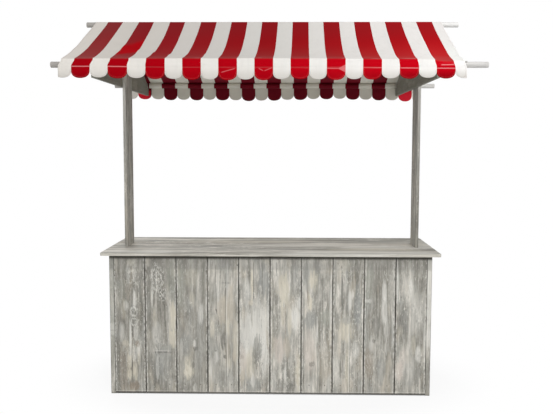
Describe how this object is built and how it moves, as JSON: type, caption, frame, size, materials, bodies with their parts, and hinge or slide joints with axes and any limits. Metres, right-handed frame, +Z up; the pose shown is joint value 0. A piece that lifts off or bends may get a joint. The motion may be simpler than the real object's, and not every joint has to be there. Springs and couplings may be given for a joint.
{
  "type": "wooden market stall",
  "caption": "Wooden market stall: a boarded counter open at the back, a post at each end, and a striped scalloped awning hung over poles between gable panels.",
  "frame": {"origin": "on the ground, under the middle of the counter and of the awning", "axes": "+X along the counter to the right as the customer sees it, +Y from the customer's side to the seller's side, +Z up"},
  "size_m": [2.482, 1.6236, 2.4244],
  "materials": {
    "counter_boards": "weathered bare wood",
    "counter_top": "weathered bare wood",
    "rails": "sawn bare wood",
    "posts": "weathered bare wood",
    "gables": "weathered bare wood",
    "poles": "pale paint",
    "awning_cloth": "glossy coated cloth"
  },
  "bodies": {
    "root": {"awning_front_slope": "awning_cloth", "awning_front_valance": "awning_cloth", "awning_rear_slope": "awning_cloth", "awning_rear_valance": "awning_cloth", "counter_top": "counter_top", "front_board_01": "counter_boards", "front_board_02": "counter_boards", "front_board_03": "counter_boards", "front_board_04": "counter_boards", "front_board_05": "counter_boards", "front_board_06": "counter_boards", "front_board_07": "counter_boards", "front_board_08": "counter_boards", "front_board_09": "counter_boards", "front_board_10": "counter_boards", "front_bottom_rail": "rails", "front_pole": "poles", "front_top_rail": "rails", "left_bottom_rail": "rails", "left_end_board_1": "counter_boards", "left_end_board_2": "counter_boards", "left_end_board_3": "counter_boards", "left_end_board_4": "counter_boards", "left_gable": "gables", "left_post": "posts", "left_top_rail": "rails", "rear_pole": "poles", "rear_top_rail": "rails", "ridge_pole": "poles", "right_bottom_rail": "rails", "right_end_board_1": "counter_boards", "right_end_board_2": "counter_boards", "right_end_board_3": "counter_boards", "right_end_board_4": "counter_boards", "right_gable": "gables", "right_post": "posts", "right_top_rail": "rails"}
  },
  "joints": []
}
